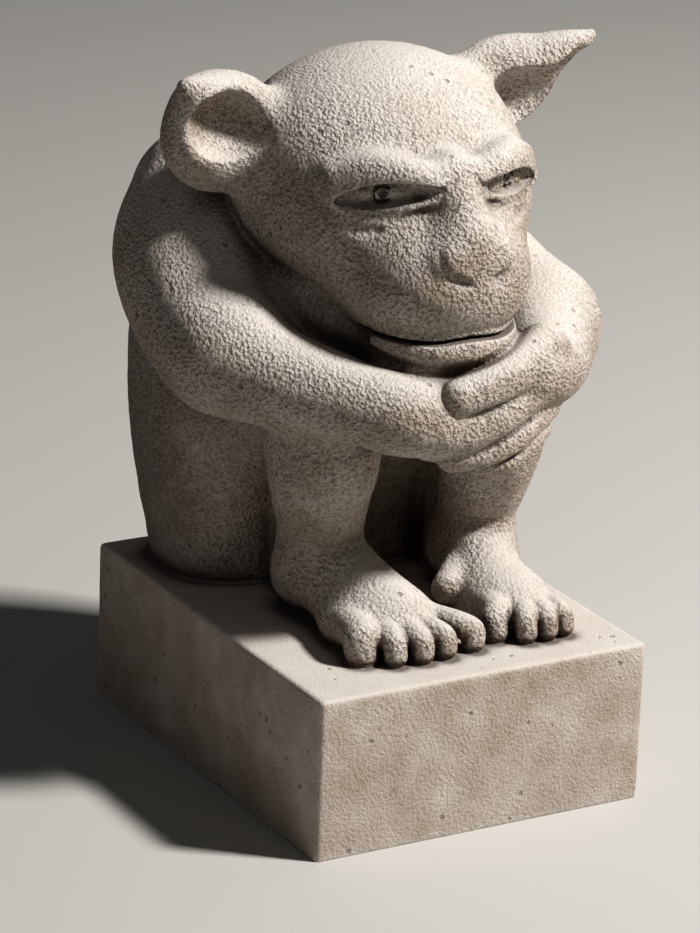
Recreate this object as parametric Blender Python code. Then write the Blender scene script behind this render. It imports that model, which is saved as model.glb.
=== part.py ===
"""Gargoyle statue: a crouched figure with its plinth, cast as one piece of stone.

Metres, +Z up. The origin is the middle of the plinth's underside and the
figure faces -Y. The figure is a field of blended ellipsoids and limbs that is
turned into a surface once, and the plinth is an exact block joined to it.
"""
import math

import bmesh
import bpy
import numpy as np
from mathutils import Euler

# Plinth
PLINTH_WIDTH = 0.1775
PLINTH_DEPTH = 0.229
PLINTH_HEIGHT = 0.080
PLINTH_EDGE = 0.0025
PLINTH_EDGE_STEPS = 2

# Figure above the plinth
FIGURE_HEIGHT = 0.271
FIGURE_UNITS = 271.0
FIGURE_ROOT = 0.005
# box in figure units that holds all of it
FIGURE_LOW = (-126, -114, -12)
FIGURE_HIGH = (126, 122, 282)

# Fineness of the surface
CELL_UNITS = 2.0
FIGURE_TRIANGLES = 8600
STONE_COLOR = (0.42, 0.35, 0.28, 1.0)

# The figure is set out in units of which FIGURE_UNITS make its height. Its own
# origin is the middle of the plinth's top, x runs to the creature's left and
# y runs to its back, so the face looks along -y.
# An ellipsoid is (centre, radii, turn in degrees about x, y and z).
# A limb is a list of stations (x, y, z, radius) joined by a smooth curve.
# Pieces with two sides are given for x > 0 and mirrored.
SKULL = ((0, 8, 212), (74, 62, 59), (0, 0, 0))
MIDFACE = ((0, -28, 197), (58, 40, 43), (0, 0, 0))
MUZZLE = ((0, -50, 176), (46.5, 44, 36), (-8, 0, 0))
NOSE = [(0, -62.5, 227, 9.5), (0, -70, 214.5, 11), (0, -77, 202, 12.2)]
NOSE_TIP = ((0, -77.5, 194.5), (16, 14.5, 11.5), (-12, 0, 0))
NOSE_WING = ((12, -84, 192.3), (7.5, 8, 7), (0, 0, 20))
NOSE_CREASE = [(17.5, -82.5, 205.5, 0.1), (19, -85, 201, 0.1), (20, -88.3, 195, 0.1), (18, -91.2, 189, 0.1)]
NOSTRIL = [(18, -91.4, 187, 0.8), (13, -92, 185, 2.3), (9, -92.6, 183.4, 2.4), (5, -93.4, 182.2, 0.8)]
BROW = [(12, -67, 227, 4), (24, -62, 230, 6.5), (37, -53, 230, 7), (50, -43, 225, 5)]
EYE_HOLLOW = [(12, -73.5, 221.8, 1.6), (22, -69, 221.4, 4.4), (33, -62.5, 220, 6.0),
              (43, -55.2, 218, 4.9), (51.5, -49.6, 215.8, 1.5)]
EYEBALL = [(16, -58.5, 219.6, 7), (24, -53.7, 219.8, 8.5), (33, -48.2, 219.3, 9),
           (42, -43.2, 218, 8), (50, -38.7, 216.6, 6)]
UPPER_LID = [(12, -71, 224, 1.8), (22, -68, 227.5, 3.2), (33, -61.5, 227.8, 3.6),
             (44, -53.5, 224, 3), (54, -46, 217.5, 1.8)]
LOWER_LID = [(14, -70, 217, 1.3), (24, -66, 214.2, 2.0), (34, -60, 212.6, 2.4),
             (45, -52.4, 212.4, 2.2), (54, -46.5, 214.2, 1.6)]
EYE_BAGS = [[(27, -67, 213.2, 0.1), (35.8, -61.2, 210.8, 0.6), (43, -55.8, 210.8, 0.6),
             (51, -50.2, 213, 0.1)],
            [(37, -61.3, 203.5, 0.1), (45, -55.3, 202.5, 0.2), (53, -49.3, 205, 0.1)]]
FROWN = [(4, -73.5, 229, 0.2), (6, -74.8, 226, 0.8), (9.5, -75, 223, 0.9), (13, -73.3, 222, 0.6)]
LOWER_LIP = [(0, -82.5, 148.4, 8), (14, -79.5, 148.2, 7.8), (26, -71, 149, 7), (35, -60.5, 150.8, 3.8)]
CHIN = ((0, -73.5, 139), (28, 10, 7), (0, 0, 0))
# the mouth is a slot that keeps its depth: how high it lies at each x, its half width and its depth
MOUTH = [(0, 154.6), (8, 154), (16, 153.2), (28, 153.3), (38, 154.4), (47, 156.6)]
MOUTH_HALF = 1.2
MOUTH_DEPTH = 5.0
# ears: shell, tip, hollow and the hollow's run towards the tip, by side
EARS = {
    -1: (((80, 12, 236), (31, 17, 29), (0, 0, 0)), [(86, 8, 246, 18), (96, 3, 255, 12), (104, 0, 261, 6)],
         ((84.5, -6, 242), (19.5, 20, 16.5), (0, 0, 0)), [(90, -5, 245, 10), (97, -7, 252, 4)]),
    1: (((70, 12, 244), (29, 16, 24), (0, 0, 0)), [(80, 8, 249, 18), (96, 2, 259, 11.5), (111, -2, 268, 3)],
        ((76, -3, 237), (22, 21, 18.5), (0, 0, 0)), [(87, -3, 240, 14), (104, -6, 254.5, 8.5)]),
}
# trunk: half width, front and back at each height, rounded square in plan
TRUNK = [(-10, 73, 30, 112), (20, 79, 30, 111.5), (60, 89, 20, 110),
         (100, 95, 5, 108.5), (150, 94, 0, 107.5), (200, 88, 0, 105)]
TRUNK_TOP = 186
TRUNK_SQUARENESS = 3.0
UPPER_BACK = ((0, 51, 165), (93, 56, 70), (0, 0, 0))
SHOULDER_BLADE = ((36, 92, 178), (24, 14, 32), (14, -12, 0))
SPINE = [(0, 114, 40, 3), (0, 112.5, 100, 5), (0, 111, 160, 5), (0, 95, 212, 4), (0, 74, 236, 3)]
NECK = ((0, 35, 195), (58, 45, 40), (0, 0, 0))
CHEST = ((0, 0, 150), (64, 52, 44), (0, 0, 0))
UPPER_ARMS = {-1: [(60, 62, 188, 37), (78, 44, 168, 37), (86, 14, 147, 33), (88, -8, 138, 28)],
              1: [(48, 62, 174, 35), (66, 42, 152, 34), (79, 10, 136, 31), (82, -12, 130, 28)]}
FOREARMS = {-1: [(86, -12, 136, 27), (74, -34, 130, 24), (52, -60, 124.5, 20),
                 (32, -78, 119.5, 18), (18, -84, 116, 15.5)],
            1: [(82, -16, 130, 28), (66, -46, 128, 24), (50, -70, 129, 19), (36, -82, 132, 15)]}
# the two hands' backs, pressed together between chin and knees
HAND_MASS = [(-32, -74, 119, 17.5), (-2, -74, 118, 19.5), (34, -70, 121, 18)]
HAND_HEEL = [(-12, -74, 104, 11), (12, -77, 100, 12), (36, -70, 104, 12.5)]
# fingers of the right hand below, then the left hand's finger over them
FINGERS = [[(-26, -82, 113.5, 13), (-4, -87, 111.5, 12.3), (18, -88.5, 118, 10.3), (36, -82, 124, 9.3)],
           [(-6, -84, 98, 8.5), (8, -90, 98.5, 6.3), (24, -90, 104.5, 6.9), (38, -83, 109.5, 7),
            (52, -70, 111, 8.5)],
           [(8, -84, 91, 5), (22, -88, 92, 4.6), (37, -81, 97, 5.2), (50, -70, 99, 6)],
           [(46, -76, 140.5, 13), (18, -90, 134.5, 10.2), (-9, -92.5, 129, 9.3)]]
THIGH = [(40, 68, 42, 36), (46, 38, 84, 34), (46, -4, 112, 30)]
SHINS = {-1: [(46, -30, 112, 28), (46, -33, 90, 28), (41, -24, 66, 24), (35, -14, 44, 21),
              (34.5, -9, 22, 21)],
         1: [(46, -30, 112, 27), (47, -33, 90, 26.5), (50, -24, 66, 23.5), (53, -14, 44, 20),
             (53, -8, 22, 20)]}
CALVES = {-1: [(27, 20, 0, 12), (27, 18, 40, 13), (32, 12, 84, 15)],
          1: [(58, 20, 0, 13), (58, 18, 40, 15), (52, 12, 84, 17)]}
# feet: ankle x and y, ball of the foot, and each toe's tip x, tip y and radius
FEET = {-1: (-35, -12, 29, [(-48, -88, 8.6), (-35, -95, 6.2), (-21.5, -97, 6), (-8.5, -96, 5.9),
                           (8, -93.5, 6.3)]),
        1: (51, -12, 23, [(24, -88, 7), (36.5, -95, 5.8), (47.5, -96, 5.4), (57.5, -94.5, 5.2)])}
INSTEPS = {-1: [(-34, -16, 32, 17), (-26, -40, 21, 16), (-21, -62, 13, 14)],
           1: [(50, -16, 28, 16), (44, -42, 14, 13.5)]}
LEFT_GREAT_TOE = [(37, -28, 15, 11), (29, -35, 14.5, 9.5), (22, -40.5, 12.5, 8.8)]


def blend(a, b, k):
    """Union of two fields, rounded over a width k where they meet."""
    h = np.maximum(k - np.abs(a - b), 0) / k
    return np.minimum(a, b) - h * h * (k * 0.25)


def carve(a, b, k):
    """Field a with b taken out of it, the edge rounded over a width k."""
    return -blend(-a, b, k)


def ellipsoid(p, shape):
    """Distance to an ellipsoid, to first order: k0 (k0 - 1) / k1 for the scaled point."""
    centre, radii, turn = shape
    q = p - np.array(centre, np.float32)[:, None]
    if any(turn):
        q = np.array(Euler([math.radians(t) for t in turn]).to_matrix(), np.float32).T @ q
    r = np.array(radii, np.float32)[:, None]
    k0 = np.maximum(np.sqrt(((q / r) ** 2).sum(0)), 1e-3)
    k1 = np.maximum(np.sqrt(((q / r ** 2) ** 2).sum(0)), 1e-3 / max(radii))
    return k0 * (k0 - 1) / k1


def spline(stations, steps):
    """Catmull-Rom curve through the stations, radii with them."""
    s = np.array(stations, float)
    s = np.vstack([2 * s[0] - s[1], s, 2 * s[-1] - s[-2]])
    t = np.linspace(0, 1, steps, endpoint=False)[:, None]
    runs = [0.5 * (2 * b + (c - a) * t + (2 * a - 5 * b + 4 * c - d) * t ** 2
                   + (3 * b - a - 3 * c + d) * t ** 3)
            for a, b, c, d in zip(s[:-3], s[1:-2], s[2:-1], s[3:])]
    return np.vstack(runs + [s[-2:-1]])


def limb(p, stations, steps=7):
    """Distance to a round limb: the nearest of the short cones along its curve."""
    s = spline(stations, steps).astype(np.float32)
    best = None
    for a, b in zip(s[:-1], s[1:]):
        axis = (b - a)[:3, None]
        q = p - a[:3, None]
        t = np.clip((q * axis).sum(0) / max(float((axis ** 2).sum()), 1e-6), 0, 1)
        d = np.sqrt(((q - t * axis) ** 2).sum(0)) - (a[3] + t * (b[3] - a[3]))
        best = d if best is None else np.minimum(best, d)
    return best


def near(p, low, high, field, margin=26):
    """The field where p is near the box low to high, and the distance to that box elsewhere."""
    low = np.array(low, np.float32)[:, None]
    high = np.array(high, np.float32)[:, None]
    gap = np.sqrt((np.maximum(np.maximum(low - p, p - high), 0) ** 2).sum(0))
    close = gap < margin
    out = gap + np.float32(1)
    if close.any():
        out[close] = field(p[:, close])
    return out


def mirrored(p):
    return np.stack([np.abs(p[0]), p[1], p[2]])


def mouth_slot(p, d):
    """A slot along the mouth's curve that goes MOUTH_DEPTH into the field d, thinner at its corners."""
    curve = spline([(x, 0, z, 0) for x, z in MOUTH], 8)
    height = np.interp(p[0], curve[:, 0], curve[:, 2]).astype(np.float32)
    end = MOUTH[-1][0]
    half = MOUTH_HALF * np.sqrt(np.clip(1.05 - (p[0] / end) ** 4, 0, 1)) - np.maximum(p[0] - end, 0)
    return np.maximum(np.abs(p[2] - height) - half, -d - MOUTH_DEPTH)


def face_carving(p, d):
    """Brow, eyes, nose and mouth worked into the head's field d."""
    d = blend(d, limb(p, NOSE), 10)
    d = blend(d, ellipsoid(p, NOSE_TIP), 11)
    d = blend(d, ellipsoid(p, NOSE_WING), 7)
    d = blend(d, limb(p, BROW), 12)
    d = blend(d, limb(p, UPPER_LID), 6)
    d = blend(d, limb(p, LOWER_LID), 4)
    d = carve(d, limb(p, EYE_HOLLOW), 1.2)
    d = blend(d, limb(p, EYEBALL), 0.8)
    for bag, k in zip(EYE_BAGS, (2, 4)):
        d = carve(d, limb(p, bag), k)
    d = carve(d, limb(p, FROWN), 2)
    d = carve(d, limb(p, NOSE_CREASE), 3.2)
    d = carve(d, limb(p, NOSTRIL), 2)
    d = blend(d, ellipsoid(p, CHIN), 6)
    d = blend(d, limb(p, LOWER_LIP), 4)
    return carve(d, mouth_slot(p, d), 1.0)


def head(p):
    m = mirrored(p)
    d = ellipsoid(m, SKULL)
    d = blend(d, ellipsoid(m, MIDFACE), 22)
    d = blend(d, ellipsoid(m, MUZZLE), 14)
    front = (m[1] < -30) & (m[2] > 130) & (m[2] < 250)
    if front.any():
        d[front] = face_carving(m[:, front], d[front])
    for side, (shell, tip, hollow, run) in EARS.items():
        e = np.stack([p[0] * side, p[1], p[2]])
        d = blend(d, near(e, (38, -14, 196), (116, 30, 275),
                          lambda q: blend(ellipsoid(q, shell), limb(q, tip), 8)), 10)
        d = carve(d, near(e, (50, -34, 212), (108, 12, 264),
                          lambda q: blend(ellipsoid(q, hollow), limb(q, run), 6)), 4)
    return d


def trunk(p):
    table = spline(TRUNK, 8)
    half, front, back = (np.interp(p[2], table[:, 0], table[:, i]).astype(np.float32) for i in (1, 2, 3))
    middle = (front + back) / 2
    deep = (back - front) / 2
    n = TRUNK_SQUARENESS
    share = (np.abs(p[0] / half) ** n + np.abs((p[1] - middle) / deep) ** n) ** (1 / n)
    d = carve((share - 1) * np.minimum(half, deep), TRUNK_TOP - p[2], 60)
    d = blend(d, ellipsoid(p, UPPER_BACK), 16)
    d = blend(d, ellipsoid(mirrored(p), SHOULDER_BLADE), 14)
    d = carve(d, limb(p, SPINE), 12)
    d = blend(d, ellipsoid(p, CHEST), 16)
    return blend(d, ellipsoid(p, NECK), 20)


def foot(p, side):
    """Heel and ball of one foot with its row of toes."""
    ankle_x, ankle_y, ball, toes = FEET[side]
    row_x = sum(t[0] for t in toes) / len(toes)
    row_y = sum(t[1] for t in toes) / len(toes)
    heel = [(ankle_x, ankle_y + 8, 15, 17), (ankle_x, ankle_y - 10, 20, 18)]
    middle = (0.5 * (ankle_x + row_x) + 0.25 * (row_x - ankle_x), 0.5 * (ankle_y + row_y) - 1, 8)
    d = blend(limb(p, heel), ellipsoid(p, (middle, (ball, 31, 18), (0, 0, 0))), 12)
    for x, y, r in toes:
        root_x = middle[0] + (x - row_x) * 0.72
        root_y = y + 26
        toe = [(root_x, root_y, 11, r * 1.15), ((root_x + x) / 2, (root_y + y) / 2, 11.5, r * 1.12),
               (x, y + r + 1.5, 9.5, r), (x, y + r, 4.5, r * 0.96)]
        d = blend(d, limb(p, toe, 3), 2)
    d = blend(d, limb(p, INSTEPS[side]), 10)
    if side > 0:
        d = blend(d, limb(p, LEFT_GREAT_TOE), 4)
    return d


def figure(p):
    """Distance to the whole figure at points p (3, n), in figure units, negative inside."""
    d = trunk(p)
    for side in (-1, 1):
        s = np.stack([p[0] * side, p[1], p[2]])
        d = blend(d, near(s, (2, -66, 0), (90, 116, 146), lambda q: limb(q, THIGH)), 12)
        d = blend(d, near(s, (12, -12, -20), (76, 44, 110), lambda q: limb(q, CALVES[side])), 8)
        d = blend(d, near(s, (10, -64, 0), (80, 20, 142), lambda q: limb(q, SHINS[side])), 5)
    for side in (-1, 1):
        s = np.stack([p[0] * side, p[1], p[2]])
        d = blend(d, near(s, (0, -102, 95), (122, 102, 228),
                          lambda q: blend(limb(q, UPPER_ARMS[side]), limb(q, FOREARMS[side]), 14)), 10)
    for side, low, high in ((-1, (-62, -96, -10), (12, 20, 40)), (1, (10, -94, -10), (80, 20, 40))):
        d = blend(d, near(p, low, high, lambda q: foot(q, side)), 6)
    d = blend(d, near(p, (-52, -96, 84), (54, -50, 142),
                      lambda q: blend(limb(q, HAND_MASS), limb(q, HAND_HEEL), 8)), 8)
    for finger, k in zip(FINGERS, (4, 1.6, 1.6, 1.6)):
        d = blend(d, near(p, (-42, -108, 80), (58, -62, 152), lambda q: limb(q, finger)), k)
    return blend(d, near(p, (-116, -108, 136), (116, 72, 278), head), 4)


def sampled(field, low, high, cell, block=8):
    """Field values on a grid; only blocks that hold the surface get every value of their own."""
    low = np.array(low, float)
    count = np.ceil((np.array(high) - low) / (cell * block)).astype(int) + 1
    corner = np.stack(np.meshgrid(*[np.arange(n) for n in count], indexing="ij"), -1).reshape(-1, 3)

    def at(index):
        return field((low + index * cell).T.astype(np.float32))

    middle = at(corner * block + block / 2)
    values = np.empty(count * block + 1, np.float32)
    values[:] = np.pad(np.kron(middle.reshape(count), np.ones((block,) * 3, np.float32)),
                       [(0, 1)] * 3, mode="edge")
    reach = block * cell
    start = corner[np.abs(middle) < reach] * block
    half = block // 2
    parts = np.stack(np.meshgrid(*[(0, half)] * 3, indexing="ij"), -1).reshape(-1, 3)
    start = (start[:, None] + parts).reshape(-1, 3)
    start = start[np.abs(at(start + half / 2)) < reach / 2 + cell]
    steps = np.stack(np.meshgrid(*[np.arange(half)] * 3, indexing="ij"), -1).reshape(-1, 3)
    for run in np.array_split(start, max(1, len(start) // 6000)):
        index = (run[:, None] + steps).reshape(-1, 3)
        values[tuple(index.T)] = at(index)
    return values, low


def settled(values):
    """Fill pockets of one point, then cell faces whose signs form a checkerboard.

    What is left is one closed skin in which no two sheets share an edge.
    """
    just_inside = -0.01
    for turn in range(3):
        walls = sum(np.roll(values < 0, way, axis).astype(np.int8) for axis in range(3) for way in (-1, 1))
        values[(values >= 0) & (walls >= 5)] = just_inside
    for turn in range(8):
        changed = 0
        for axis in range(3):
            v = np.moveaxis(values, axis, 0)
            a, b, c, d = v[:, :-1, :-1], v[:, 1:, :-1], v[:, :-1, 1:], v[:, 1:, 1:]
            first = (a < 0) & (d < 0) & (b >= 0) & (c >= 0)
            second = (b < 0) & (c < 0) & (a >= 0) & (d >= 0)
            changed += int(first.sum() + second.sum())
            b[first] = just_inside
            a[second] = just_inside
        if not changed:
            break
    return values


def net(values, low, cell):
    """Surface net of a grid: one point in each mixed cell, one quad across each mixed grid edge."""
    inside = values < 0
    n = np.array(values.shape) - 1
    total = sum(inside[i:n[0] + i, j:n[1] + j, k:n[2] + k].astype(np.int8)
                for i in (0, 1) for j in (0, 1) for k in (0, 1))
    cells = np.argwhere((total > 0) & (total < 8))
    number = np.full(n, -1, np.int32)
    number[tuple(cells.T)] = np.arange(len(cells))
    place = np.zeros((len(cells), 3))
    hits = np.zeros((len(cells), 1))
    for axis in range(3):
        others = [i for i in range(3) if i != axis]
        for u in (0, 1):
            for w in (0, 1):
                a = cells.copy()
                a[:, others[0]] += u
                a[:, others[1]] += w
                b = a.copy()
                b[:, axis] += 1
                va = values[tuple(a.T)].astype(float)
                vb = values[tuple(b.T)].astype(float)
                cut = (va < 0) != (vb < 0)
                spot = a.astype(float)
                spot[:, axis] += np.where(cut, va / np.where(cut, va - vb, 1), 0)
                place += spot * cut[:, None]
                hits += cut[:, None]
    points = low + place / hits * cell
    quads = []
    for axis in range(3):
        u, w = [i for i in range(3) if i != axis]
        first = np.moveaxis(inside, (axis, u, w), (0, 1, 2))
        edge = np.argwhere(first[:-1, 1:-1, 1:-1] != first[1:, 1:-1, 1:-1]) + (0, 1, 1)
        leaving = first[tuple(edge.T)] == (axis != 1)
        base = np.zeros_like(edge)
        base[:, axis], base[:, u], base[:, w] = edge[:, 0], edge[:, 1], edge[:, 2]
        around = []
        for du, dw in ((-1, -1), (0, -1), (0, 0), (-1, 0)):
            spot = base.copy()
            spot[:, u] += du
            spot[:, w] += dw
            around.append(number[tuple(spot.T)])
        around = np.stack(around, 1)
        quads.append(np.where(leaving[:, None], around, around[:, ::-1]))
    return points, np.vstack(quads)


def drawn_in(field, points, cell, turns=2):
    """Points moved along the field's slope until they lie on its zero surface."""
    aim = np.array([(1, -1, -1), (-1, -1, 1), (-1, 1, -1), (1, 1, 1)], float)
    for turn in range(turns):
        value = field(points.T.astype(np.float32))
        step = 0.35 * cell
        slope = sum(a * field((points + a * step).T.astype(np.float32))[:, None] for a in aim) / (4 * step)
        size = np.maximum((slope ** 2).sum(1), 0.25)
        move = -slope * (value / size)[:, None]
        reach = np.sqrt((move ** 2).sum(1))[:, None]
        points = points + move * np.minimum(1, 0.5 * cell / np.maximum(reach, 1e-9))
    return points


def rooted(p):
    """The figure cut off level a little below the plinth's top."""
    depth = FIGURE_ROOT * FIGURE_UNITS / FIGURE_HEIGHT
    return np.maximum(figure(p), -p[2] - np.float32(depth))


def stone():
    material = bpy.data.materials.new("cast_stone")
    material.use_nodes = True
    shader = material.node_tree.nodes["Principled BSDF"]
    shader.inputs["Base Color"].default_value = STONE_COLOR
    shader.inputs["Roughness"].default_value = 0.9
    return material


def placed(name, mesh):
    thing = bpy.data.objects.new(name, mesh)
    bpy.context.scene.collection.objects.link(thing)
    return thing


def triangle_mesh(name, points, quads):
    """Mesh with each quad split along its shorter diagonal."""
    corner = points[quads]
    short = (np.linalg.norm(corner[:, 0] - corner[:, 2], axis=1)
             < np.linalg.norm(corner[:, 1] - corner[:, 3], axis=1))
    turned = np.where(short[:, None], quads, np.roll(quads, -1, axis=1))
    faces = np.vstack([turned[:, [0, 1, 2]], turned[:, [0, 2, 3]]]).astype(np.int32)
    mesh = bpy.data.meshes.new(name)
    mesh.vertices.add(len(points))
    mesh.vertices.foreach_set("co", points.astype(np.float32).ravel())
    mesh.loops.add(faces.size)
    mesh.loops.foreach_set("vertex_index", faces.ravel())
    mesh.polygons.add(len(faces))
    mesh.polygons.foreach_set("loop_start", np.arange(0, faces.size, 3, dtype=np.int32))
    mesh.update(calc_edges=True)
    mesh.validate()
    return mesh


def plinth_block():
    """Exact block standing on z = 0 with rounded edges."""
    shape = bmesh.new()
    bmesh.ops.create_cube(shape, size=1.0)
    for v in shape.verts:
        v.co = (v.co.x * PLINTH_WIDTH, v.co.y * PLINTH_DEPTH, (v.co.z + 0.5) * PLINTH_HEIGHT)
    bmesh.ops.bevel(shape, geom=shape.edges[:], offset=PLINTH_EDGE, segments=PLINTH_EDGE_STEPS,
                    profile=0.5, affect="EDGES")
    mesh = bpy.data.meshes.new("plinth_block")
    shape.to_mesh(mesh)
    shape.free()
    block = placed("plinth_block", mesh)
    block.hide_render = True
    block.display_type = "WIRE"
    return block


def statue():
    unit = FIGURE_HEIGHT / FIGURE_UNITS
    values, low = sampled(rooted, FIGURE_LOW, FIGURE_HIGH, CELL_UNITS)
    points, quads = net(settled(values), low, CELL_UNITS)
    points = drawn_in(rooted, points, CELL_UNITS) * unit + (0, 0, PLINTH_HEIGHT)
    thing = placed("gargoyle_statue", triangle_mesh("gargoyle_statue", points, quads))
    fewer = thing.modifiers.new("fewer", "DECIMATE")
    fewer.ratio = min(1.0, FIGURE_TRIANGLES / len(thing.data.polygons))
    join = thing.modifiers.new("join", "BOOLEAN")
    join.operation = "UNION"
    join.solver = "EXACT"
    join.object = plinth_block()
    return thing


for old in list(bpy.data.objects):
    bpy.data.objects.remove(old, do_unlink=True)
piece = statue()
piece.data.materials.append(stone())
piece.data.polygons.foreach_set("use_smooth", np.ones(len(piece.data.polygons), bool))
piece.data.set_sharp_from_angle(angle=math.radians(40))
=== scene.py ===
"""Gargoyle statue in cast stone: the finished piece, its stage and the photograph's camera.

Metres, +Z up. The origin is the middle of the plinth's underside and the
figure faces -Y. Figure and plinth are one skin, the zero surface of a distance
field that blends ellipsoids, tapered limbs and a rounded block.
"""
import math

import bpy
import numpy as np
from bpy.props import FloatProperty, FloatVectorProperty, IntProperty, PointerProperty
from mathutils import Euler, Matrix


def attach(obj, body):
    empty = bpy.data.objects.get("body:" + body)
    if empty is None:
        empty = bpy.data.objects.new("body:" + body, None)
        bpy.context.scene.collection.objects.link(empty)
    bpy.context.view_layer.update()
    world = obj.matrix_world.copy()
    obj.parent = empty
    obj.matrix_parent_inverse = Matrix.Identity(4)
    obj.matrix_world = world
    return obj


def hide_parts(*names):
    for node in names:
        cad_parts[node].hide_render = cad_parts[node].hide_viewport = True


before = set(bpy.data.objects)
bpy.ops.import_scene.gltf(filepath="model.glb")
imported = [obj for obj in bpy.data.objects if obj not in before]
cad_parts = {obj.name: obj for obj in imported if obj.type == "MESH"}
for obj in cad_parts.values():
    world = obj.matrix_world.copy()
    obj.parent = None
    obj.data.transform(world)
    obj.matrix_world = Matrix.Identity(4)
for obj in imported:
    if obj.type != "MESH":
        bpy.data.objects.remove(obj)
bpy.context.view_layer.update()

bl_info = {
    "name": "Gargoyle Statue",
    "version": (1, 0, 0),
    "blender": (4, 5, 0),
    "location": "3D View > Sidebar > Gargoyle",
    "description": "Crouched gargoyle on its plinth, cast in one piece of stone",
    "category": "Object",
}

# Units of the figure's own layout in its height above the plinth
FIGURE_UNITS = 271.0
# Widths of the fillet round the feet and of the wear taken off every face, in units
FOOT_FILLET = 1.6
WEAR = 0.15
# Share of the figure's coarse grain that the plinth's smoother faces have
PLINTH_GRAIN = 0.2
# Grid round the figure, in units: half width, half depth, top, and the space left under the floor
GRID_HALF_WIDTH = 126
GRID_HALF_DEPTH = 120
GRID_TOP = 280
GRID_UNDER = 3
# How far out, and how far in, the field is felt for hollows and for crests, in units; they set the painted
# shade in hollows and the painted light on crests
HOLLOW_REACHES = (1.5, 4, 9, 18)
CREST_REACHES = (-1.5, -4, -8)
# How far off the field is felt for its slope: in units, and as a share of a cell
SLOPE_STEP = 0.35
SLOPE_STEP_IN_CELLS = 0.35
# Corners of the small tetrahedron at which a field's slope is felt
SLOPE_CORNERS = np.array([(1, -1, -1), (-1, -1, 1), (-1, 1, -1), (1, 1, 1)], float)
# Sines of the hand-worked unevenness: length in units, share and turn in radians
UNEVEN_WAVES = ((31, 0.5, 0.4), (17, 0.3, 1.3), (9.5, 0.2, 2.2))

# The camera fitted to the photograph: its place in metres and its turns in degrees
CAMERA_PLACE = (-0.9739, -1.6496, 0.8217)
CAMERA_YAW, CAMERA_PITCH, CAMERA_ROLL = 30.257, 19.486, 2.148
SENSOR_WIDTH = 36.0
FOCAL_PIXELS = 4219
PHOTO_LONG_SIDE_PIXELS = 933
# Lamps: the way to each from the statue's middle, how far, and how wide a square
LAMP_AIM = (0.0, 0.0, 0.18)
LAMP_DISTANCE = 2.6
KEY_TOWARDS = (0.68, -0.62, 0.95)
KEY_SIDE = 0.3
FILL_TOWARDS = (-0.75, -0.75, 0.6)
FILL_SIDE = 1.8
FLOOR_SQUARES = 8

# The figure is set out in units of which FIGURE_UNITS make its height. Its own
# origin is the middle of the plinth's top, x runs to the creature's left and
# y runs to its back, so the face looks along -y.
# An ellipsoid is (centre, radii, turn in degrees about x, y and z).
# A limb is a list of stations (x, y, z, radius) joined by a smooth curve.
# Pieces with two sides are given for x > 0 and mirrored.
SKULL = ((0, 8, 212), (74, 62, 59), (0, 0, 0))
MIDFACE = ((0, -28, 197), (58, 40, 43), (0, 0, 0))
MUZZLE = ((0, -50, 176), (46.5, 44, 36), (-8, 0, 0))
NOSE = [(0, -62.5, 227, 9.5), (0, -70, 214.5, 11), (0, -77, 202, 12.2)]
NOSE_TIP = ((0, -77.5, 194.5), (16, 14.5, 11.5), (-12, 0, 0))
NOSE_WING = ((12, -84, 192.3), (7.5, 8, 7), (0, 0, 20))
NOSE_CREASE = [(17.5, -82.5, 205.5, 0.1), (19, -85, 201, 0.1), (20, -88.3, 195, 0.1), (18, -91.2, 189, 0.1)]
NOSTRIL = [(18, -91.4, 187, 0.8), (13, -92, 185, 2.3), (9, -92.6, 183.4, 2.4), (5, -93.4, 182.2, 0.8)]
BROW = [(12, -67, 227, 4), (24, -62, 230, 6.5), (37, -53, 230, 7), (50, -43, 225, 5)]
EYE_HOLLOW = [(12, -73.5, 221.8, 1.6), (22, -69, 221.4, 4.4), (33, -62.5, 220, 6.0),
              (43, -55.2, 218, 4.9), (51.5, -49.6, 215.8, 1.5)]
EYEBALL = [(16, -58.5, 219.6, 7), (24, -53.7, 219.8, 8.5), (33, -48.2, 219.3, 9),
           (42, -43.2, 218, 8), (50, -38.7, 216.6, 6)]
UPPER_LID = [(12, -71, 224, 1.8), (22, -68, 227.5, 3.2), (33, -61.5, 227.8, 3.6),
             (44, -53.5, 224, 3), (54, -46, 217.5, 1.8)]
LOWER_LID = [(14, -70, 217, 1.3), (24, -66, 214.2, 2.0), (34, -60, 212.6, 2.4),
             (45, -52.4, 212.4, 2.2), (54, -46.5, 214.2, 1.6)]
# a ring cut round the iris: middle, the way it looks, radius and width
IRIS = ((33, -56.4, 219.3), (0.48, -0.87, -0.08), 3.8, 0.45)
PUPIL = ((33.4, -57.9, 219.3), (1.6, 2.2, 1.6), (0, 0, 32))
EYE_BAGS = [[(27, -67, 213.2, 0.1), (35.8, -61.2, 210.8, 0.6), (43, -55.8, 210.8, 0.6),
             (51, -50.2, 213, 0.1)],
            [(37, -61.3, 203.5, 0.1), (45, -55.3, 202.5, 0.2), (53, -49.3, 205, 0.1)]]
FROWN = [(4, -73.5, 229, 0.2), (6, -74.8, 226, 0.8), (9.5, -75, 223, 0.9), (13, -73.3, 222, 0.6)]
LOWER_LIP = [(0, -82.5, 148.4, 8), (14, -79.5, 148.2, 7.8), (26, -71, 149, 7), (35, -60.5, 150.8, 3.8)]
CHIN = ((0, -73.5, 139), (28, 10, 7), (0, 0, 0))
# the mouth is a slot that keeps its depth: how high it lies at each x, its half width and its depth
MOUTH = [(0, 154.6), (8, 154), (16, 153.2), (28, 153.3), (38, 154.4), (47, 156.6)]
MOUTH_HALF = 0.5
MOUTH_DEPTH = 5.0
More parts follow.
